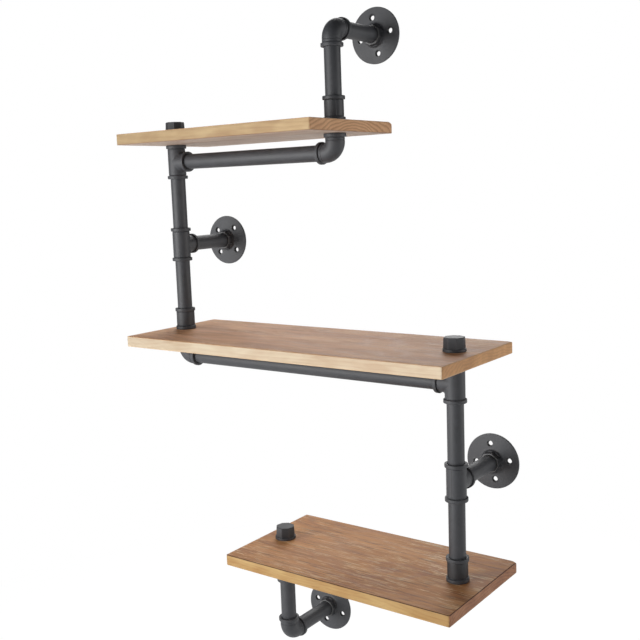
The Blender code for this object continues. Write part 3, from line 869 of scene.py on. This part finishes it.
def pipeGrids(length):
    # A turned tube: outside, end chamfers and bore
    outer, chamfer, ease = fitting["pipe"], pipe["chamfer"], pipe["ease"]
    inner = outer - pipe["wall"]
    line = easedLine([(inner, 0.5 * length, 0), (inner, chamfer, ease), (inner + chamfer, 0, ease),
                      (outer - chamfer, 0, ease), (outer, chamfer, ease), (outer, 0.5 * length, 0)])
    radii = np.concatenate([line[:, 0], line[::-1, 0][1:-1]])
    heights = np.concatenate([line[:, 1], length - line[::-1, 1][1:-1]])
    return [(roundGrid(radii, heights, wholeTurn(pipe["columns"])), True, True)]


def addPipes():
    for node in sorted(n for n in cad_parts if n.endswith(("pipe", "nipple"))):
        low, high = nodeBox(node)
        long = int(np.argmax(high - low))
        axis = np.eye(3)[long]
        side = np.eye(3)[(long + 1) % 3]
        start = (low + high) / 2 * (1 - axis) + low * axis
        mesh = meshFromGrids(moved(pipeGrids((high - low)[long]), start, axis, side))
        addPiece(node, "_tube", mesh, pipeCoat)


addPipes()
print("pipes made")


# Boards

boards = {
    # pith: its line (y, z) at x = 0, slope: how that line moves along x, wander: how far the rings stray
    # rings, clouds, flecks, scores, brush: how strongly each shows, wornCorner: reach and drop
    # front and top painted light: brightness of the front and the top at their left and right ends, a
    # gradient standing in for uneven light
    # end tones: the end grain's own colour, raised to stand in for light from the right, so partly painted
    # light
    "top_board": {
        "pith": (-0.133, -0.186), "slope": (0.02, -0.01), "wander": 0.012, "seed": 3.1,
        "facePale": (0.79, 0.45, 0.235, 1), "faceDark": (0.42, 0.18, 0.076, 1),
        "frontPale": (0.56, 0.41, 0.225, 1), "frontDark": (0.35, 0.215, 0.105, 1),
        "endPale": (0.91, 0.55, 0.3, 1), "endDark": (0.54, 0.27, 0.138, 1),
        "upperEdge": (0.7, 0.45, 0.26, 1), "lowerEdge": (0.2, 0.095, 0.06, 1),
        "rings": 0.78, "clouds": 0.34, "flecks": 0.7, "scores": 0.4, "brush": 0.4,
        "wornCorner": (10 * mm, 5 * mm), "frontFade": (0.88, 1.18), "faceFade": (1.00, 1.00),
    },
    "middle_board": {
        "pith": (-0.085, -0.585), "slope": (-0.03, 0.01), "wander": 0.016, "seed": 7.7,
        "facePale": (0.78, 0.45, 0.255, 1), "faceDark": (0.418, 0.182, 0.078, 1),
        "frontPale": (0.75, 0.64, 0.47, 1), "frontDark": (0.545, 0.385, 0.25, 1),
        "endPale": (0.9, 0.515, 0.245, 1), "endDark": (0.52, 0.262, 0.12, 1),
        "upperEdge": (0.64, 0.38, 0.2, 1), "lowerEdge": (0.8, 0.56, 0.33, 1),
        "rings": 0.3, "clouds": 0.52, "flecks": 0.75, "scores": 0.35, "brush": 0.5,
        "wornCorner": (6 * mm, 1 * mm), "frontFade": (0.86, 1.12), "faceFade": (1.22, 0.92),
    },
    "bottom_board": {
        "pith": (-0.15, -0.945), "slope": (0.035, -0.012), "wander": 0.018, "seed": 11.3,
        "facePale": (0.74, 0.385, 0.168, 1), "faceDark": (0.358, 0.136, 0.048, 1),
        "frontPale": (0.59, 0.4, 0.17, 1), "frontDark": (0.39, 0.2, 0.065, 1),
        "endPale": (0.58, 0.29, 0.156, 1), "endDark": (0.26, 0.104, 0.053, 1),
        "upperEdge": (0.05, 0.022, 0.013, 1), "lowerEdge": (0.52, 0.3, 0.13, 1),
        "rings": 0.4, "clouds": 0.4, "flecks": 1.0, "scores": 0.9, "brush": 1.0,
        "wornCorner": (8 * mm, 3.6 * mm), "frontFade": (1.04, 1.00), "faceFade": (1.10, 0.82),
    },
}

pine = {
    "edge": 1.5 * mm,  # rounding of the board's edges
    "corner": 3.2 * mm,  # rounding of its four corners seen from above
    "cell": 4.0 * mm,
    "uprightCells": 6,
    "endRings": (1, 0.66, 0.33),  # shares of the way from an end's edge to its middle line
    "easeShare": 0.8,  # an end's rounding shrinks by this share of its inset
    "holeGap": 0.6 * mm,
    "drillOver": 10 * mm,  # the drill reaches this far past the board
    "wornPower": 1.4,
    "leanSpan": (0.45, 0.85),  # parts of the normal at which a point starts to be, and is, on a side
    "ringSpacing": 5.0 * mm,
    "flatten": 0.42,  # rings are this much closer in depth than in height
    "wobble": 2.4 * mm,
    "ringShades": ((0.1, 0.05), (0.45, 0.1), (0.72, 0.8), (0.9, 1.0)),  # place in the ring, darkness
    "ringStart": 0.5,  # darkness where one ring ends and the next starts
    # noise: stretch per metre along x, y, z, shift in seeds, detail, roughness, span spread to 0 to 1
    "wanderNoise": ((4, 11, 11), (1, 2, 0), 2.0, 0.55, None),
    "wobbleNoise": ((26, 110, 110), (1, 0, 1), 2.0, 0.55, None),
    "fibre": ((9, 520, 520), (1, 0, 0), 4.0, 0.62, (0.34, 0.66)),
    "cloud": ((6, 30, 30), (0, 1, 0), 3.0, 0.5, (0.35, 0.65)),
    "patch": ((4, 14, 14), (1, 0, 0), 2.0, 0.5, (0.4, 0.62)),
    "flecks": ((28, 310, 420), (0, 0, 1), 4.0, 0.66, (0.545, 0.6)),
    "scores": ((16, 340, 420), (0, 1, 1), 4.0, 0.6, (0.57, 0.66)),
    "blush": ((20, 55, 55), (1, 1, 0), 2.0, 0.5, (0.38, 0.64)),
    "speck": ((500, 500, 500), (0, 0, 0), 3.0, 0.55, (0.3, 0.7)),
    "fine": ((26, 2100, 2100), (1, 0, 0), 2.0, 0.5, None),
    # how much each pattern darkens a side
    "face": (0.3, 0.34),  # late wood, fibre
    "worn": (0.9, 0.13),  # flecks in a patch, everywhere
    "cut": 0.7,  # scores
    "under": (0.6, 0.3),  # clouds, fibre
    "front": (0.2, 0.22, 0.3, 0.36),  # late wood, fibre, clouds, blush
    "end": (0.85, 0.75, 0.2),  # late wood, clouds, speck
    "fleckTone": (0.86, 0.62, 0.38, 1),
    "scoreTone": (0.15, 0.075, 0.04, 1),
    # the underside's two tones are pale, painted light that stands in for light bounced up from below
    "underPale": (0.74, 0.62, 0.52, 1),
    "underDark": (0.48, 0.32, 0.235, 1),
    "upperEdge": (1.6, -0.5),  # factor and offset: the tone shows by the factor times edgeShare plus offset
    "lowerEdge": (-0.7, 0.0),
    "roughness": (-0.1, 0.62), # factor of the ring's darkness, and offset
    "specular": 0.25,
    "brushed": (0.6, -0.7),  # height of late wood and of fibres in the relief
    "relief": (0.7, 0.35 * mm), # strength and depth
    "fineRelief": (0.5, 0.12 * mm),
}


def outline(halfY, halfZ, corner, across, upright):
    # A rectangle with corners of this radius: points round each corner and along the side that follows
    coreY, coreZ = halfY - corner, halfZ - corner
    arc = np.linspace(0, math.pi / 2, 6)
    rise, run = corner * np.sin(arc), corner * np.cos(arc)
    flatY = np.linspace(-coreY, coreY, across)[1:-1]
    flatZ = np.linspace(coreZ, -coreZ, upright)[1:-1]
    right, top = np.full(len(flatZ), halfY), np.full(len(flatY), halfZ)
    y = [-coreY - run, flatY, coreY + rise, right, coreY + run, flatY[::-1], -coreY - rise, -right]
    z = [coreZ + rise, top, coreZ + run, flatZ, -coreZ - rise, -top, -coreZ - run, flatZ[::-1]]
    return np.concatenate(y), np.concatenate(z)


def slabGrid(low, high):
    # Rings of that outline along x. At t round the corner of radius c the ring draws in by c (1 - sin t)
    # while x moves by c (1 - cos t), and its height by edge - sqrt(edge^2 - (edge - x)^2)
    size, middle, ease, corner = high - low, (low + high) / 2, pine["edge"], pine["corner"]
    across, upright = int(size[1] / pine["cell"]), pine["uprightCells"]
    halfY, halfZ = size[1] / 2, size[2] / 2
    ends = []
    for angle in np.linspace(0, math.pi / 2, 9)[:-1]:
        insetY, x = corner * (1 - math.sin(angle)), corner * (1 - math.cos(angle))
        short = max(ease - x, 0)
        insetZ = ease - math.sqrt(ease ** 2 - short ** 2)
        rounding = ease - pine["easeShare"] * insetZ
        ends.append((x, *outline(halfY - insetY, halfZ - insetZ, rounding, across, upright)))
    y, z = ends[0][1:]
    lineY = np.clip(y, -(halfY - halfZ), halfY - halfZ)
    flat = [(0.0, y + (lineY - y) * share, z * (1 - share)) for share in pine["endRings"]]
    ends = flat + ends
    y, z = outline(halfY, halfZ, ease, across, upright)
    long = np.linspace(corner, size[0] - corner, int(size[0] / pine["cell"]))
    stations = ends + [(x, y, z) for x in long] + [(size[0] - x, y, z) for x, y, z in ends[::-1]]
    x = np.array([s[0] for s in stations])[:, None] * np.ones(len(y))
    grid = np.stack([x + low[0], np.array([s[1] for s in stations]) + middle[1],
                     np.array([s[2] for s in stations]) + middle[2]], axis=-1)
    return [(grid, False, True)]


def drillMesh(x, y, low, high, radius):
    # A closed cylinder: middle, rim, rim, middle
    grid = roundGrid([0, radius, radius, 0], [low, low, high, high], wholeTurn(fitting["columns"]))
    return meshFromGrids([(grid + np.array([x, y, 0]), False, True)])


def drilled(mesh, cutters):
    # The slab less the drills, worked out once and kept as a plain mesh
    collection = bpy.context.scene.collection
    holder = bpy.data.objects.new("slab", mesh)
    collection.objects.link(holder)
    helpers = []
    for cutter in cutters:
        drill = bpy.data.objects.new("drill", cutter)
        collection.objects.link(drill)
        helpers.append(drill)
        step = holder.modifiers.new("drill", "BOOLEAN")
        step.operation, step.solver, step.object = "DIFFERENCE", "EXACT", drill
    bpy.context.view_layer.update()
    result = bpy.data.meshes.new_from_object(holder.evaluated_get(bpy.context.evaluated_depsgraph_get()))
    for helper in helpers + [holder]:
        bpy.data.objects.remove(helper, do_unlink=True)
    return result


def addShares(mesh):
    # How far a point faces the front or back, an end and down (0 to 1), and how far it lies on an edge of the
    # top (up to 1) or of the underside (down to -1): 2 nz sqrt(nx^2 + ny^2)
    normals = np.zeros(len(mesh.vertices) * 3, np.float32)
    mesh.vertices.foreach_get("normal", normals)
    nx, ny, nz = normals.reshape(-1, 3).T
    least, most = pine["leanSpan"]
    for name, lean in {"frontShare": np.abs(ny), "endShare": np.abs(nx), "underShare": -nz}.items():
        share = np.clip((lean - least) / (most - least), 0, 1)
        setShare(mesh, name, share * share * (3 - 2 * share))
    setShare(mesh, "edgeShare", 2 * nz * np.hypot(nx, ny))


def wearCorner(mesh, low, high, reach, drop):
    # The upper back corner at the right end sinks by drop times the product of the shares of reach along x
    # and y, to a power, times the share of height over the middle
    points = pointsOf(mesh)
    share = np.clip((points[:, :2] - high[:2]) / reach + 1, 0, 1).prod(1) ** pine["wornPower"]
    middle = (low[2] + high[2]) / 2
    points[:, 2] -= drop * share * np.clip((points[:, 2] - middle) / (high[2] - middle), 0, 1)
    mesh.vertices.foreach_set("co", points.astype(np.float32).ravel())
    mesh.update()


def pattern(tree, place, kind, seed):
    stretch, shift, detail, roughness, span = pine[kind]
    offset = [seed * n for n in shift]
    place = wire(tree, "Mapping", ("Vector", place), ("Location", offset), ("Scale", stretch)).outputs[0]
    value = noise(tree, place, 1.0, detail, roughness)
    return spread(tree, value, span) if span else value


def paintedLightAlongX(tree, colour, x, ends, shares):
    # Painted light: the colour times a share that runs evenly from the left end to the right end
    return blend(tree, 1.0, colour, spread(tree, x, ends, shares), "MULTIPLY")


def ringDarkness(tree, place, board):
    # Growth rings are the fraction of (distance from the pith line / spacing), the distance wandering with
    # noise. The distance is sqrt((flatten dy)^2 + dz^2), which makes the rings wide ovals
    x, y, z = wire(tree, "SeparateXYZ", (0, place)).outputs
    wander, wobble = (calc(tree, "SUBTRACT", pattern(tree, place, kind, board["seed"]), 0.5)
                      for kind in ("wanderNoise", "wobbleNoise"))
    wobble = calc(tree, "MULTIPLY", wobble, pine["wobble"])
    shift = calc(tree, "MULTIPLY_ADD", wander, board["wander"] * 2, wobble)
    offY = calc(tree, "SUBTRACT", y, calc(tree, "MULTIPLY_ADD", x, board["slope"][0], board["pith"][0]))
    offY = calc(tree, "MULTIPLY", offY, pine["flatten"])
    offZ = calc(tree, "SUBTRACT", z, calc(tree, "MULTIPLY_ADD", x, board["slope"][1], board["pith"][1]))
    square = calc(tree, "MULTIPLY_ADD", offY, offY, calc(tree, "MULTIPLY", offZ, offZ))
    distance = calc(tree, "ADD", calc(tree, "SQRT", square), shift)
    ring = calc(tree, "FRACT", calc(tree, "DIVIDE", distance, pine["ringSpacing"]))
    ramp = wire(tree, "ValToRGB", ("Fac", ring))
    stops = ramp.color_ramp.elements
    for end in stops[:]:
        end.color = (*[pine["ringStart"]] * 3, 1)
    for position, value in pine["ringShades"]:
        stops.new(position).color = (value, value, value, 1)
    return ramp.outputs["Color"]


def pineMaterial(name, board, low, high):
    # Each side of the board has its own pair of tones, mixed by the patterns, and the sides mix by the shares
    material, tree, shader, place = newMaterial(name)
    x = wire(tree, "SeparateXYZ", (0, place)).outputs[0]
    late = ringDarkness(tree, place, board)
    kinds = ("fibre", "cloud", "patch", "flecks", "scores", "blush", "speck", "fine")
    fibre, cloud, patch, flecks, scores, blush, speck, fine = (
        pattern(tree, place, kind, board["seed"]) for kind in kinds)
    face = total(tree, *zip((late, fibre, cloud), (*pine["face"], board["clouds"])))
    face = blend(tree, face, board["facePale"], board["faceDark"])
    worn = calc(tree, "MULTIPLY", flecks, total(tree, *zip((patch, 1.0), pine["worn"])))
    face = blend(tree, calc(tree, "MULTIPLY", worn, board["flecks"]), face, pine["fleckTone"])
    cut = calc(tree, "MULTIPLY", scores, pine["cut"] * board["scores"])
    face = paintedLightAlongX(tree, blend(tree, cut, face, pine["scoreTone"]), x, (low[0], high[0]), board["faceFade"])
    # The underside is pale as painted light, in place of light bounced up from below
    under = total(tree, *zip((cloud, fibre), pine["under"]))
    under = blend(tree, under, pine["underPale"], pine["underDark"])
    front = total(tree, *zip((late, fibre, cloud, blush), pine["front"]))
    front = blend(tree, front, board["frontPale"], board["frontDark"])
    front = paintedLightAlongX(tree, front, x, (low[0], high[0]), board["frontFade"])
    # The ends' tones are the end grain's own colour, raised to stand in for light from the right: partly
    # painted light
    ofLate, ofCloud, ofSpeck = pine["end"]
    ofLate, ofCloud = ofLate * board["rings"], ofCloud * (1 - board["rings"])
    end = total(tree, (late, ofLate), (cloud, ofCloud), (speck, ofSpeck))
    end = blend(tree, end, board["endPale"], board["endDark"])
    colour = blend(tree, attribute(tree, "underShare"), face, under)
    colour = blend(tree, attribute(tree, "frontShare"), colour, front)
    colour = blend(tree, attribute(tree, "endShare"), colour, end)
    edge = attribute(tree, "edgeShare")
    for rim in ("upperEdge", "lowerEdge"):
        share = calc(tree, "MULTIPLY_ADD", edge, *pine[rim], use_clamp=True)
        colour = blend(tree, share, colour, board[rim])
    rough = calc(tree, "MULTIPLY_ADD", late, *pine["roughness"])
    ofLate, ofFibre = pine["brushed"]
    height = calc(tree, "MULTIPLY_ADD", late, ofLate, calc(tree, "MULTIPLY", fibre, ofFibre))
    strength, depth = pine["relief"]
    normal = relief(tree, strength * board["brush"], depth, height)
    normal = relief(tree, *pine["fineRelief"], fine, normal)
    connect(tree, shader, ("Base Color", colour), ("Roughness", rough), ("Normal", normal),
            ("Specular IOR Level", pine["specular"]))
    return material


def addBoards():
    for node, board in boards.items():
        low, high = nodeBox(node)
        over, radius = pine["drillOver"], fitting["pipe"] + pine["holeGap"]
        holes = []
        for pair in ("_coupling_nipple", "_cap_nipple"):
            near, far = nodeBox(node + pair)
            x, y = ((near + far) / 2)[:2]
            holes.append(drillMesh(x, y, low[2] - over, high[2] + over, radius))
        mesh = drilled(meshFromGrids(slabGrid(low, high)), holes)
        mesh.shade_smooth()
        mesh.set_sharp_from_angle(angle=sharpAngle)
        addShares(mesh)
        wearCorner(mesh, low, high, *board["wornCorner"])
        mesh.materials.clear()
        addPiece(node, "_plank", mesh, pineMaterial(node + "_pine", board, low, high))


addBoards()
print("boards made")
